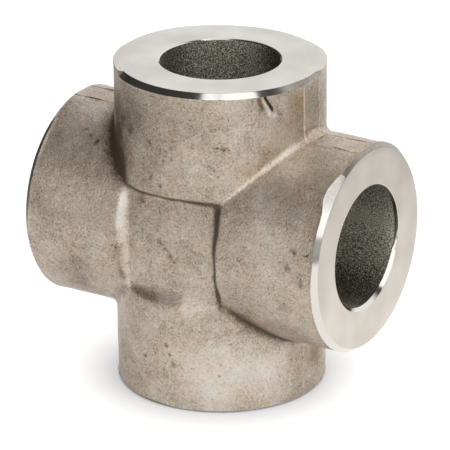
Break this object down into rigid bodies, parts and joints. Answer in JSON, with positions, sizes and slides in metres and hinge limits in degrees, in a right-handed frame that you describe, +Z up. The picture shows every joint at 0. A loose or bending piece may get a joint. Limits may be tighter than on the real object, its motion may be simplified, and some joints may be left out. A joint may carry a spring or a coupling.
{
  "type": "socket weld cross",
  "caption": "Forged steel pipe cross whose socket ends lie in one plane at right angles, for welding pipes into a crossing joint.",
  "frame": {"origin": "the point where the two bore axes cross, at the middle of the fitting", "axes": "+Z up along the upright bore, +X along the level bore, -Y towards the viewer, square to the plane of the cross"},
  "size_m": [0.0762, 0.0476, 0.0762],
  "materials": {
    "forged_steel": "pickled forged skin in warm grey brown, with turned end faces and bored sockets"
  },
  "bodies": {
    "root": {"cross_body": "forged_steel"}
  },
  "joints": []
}
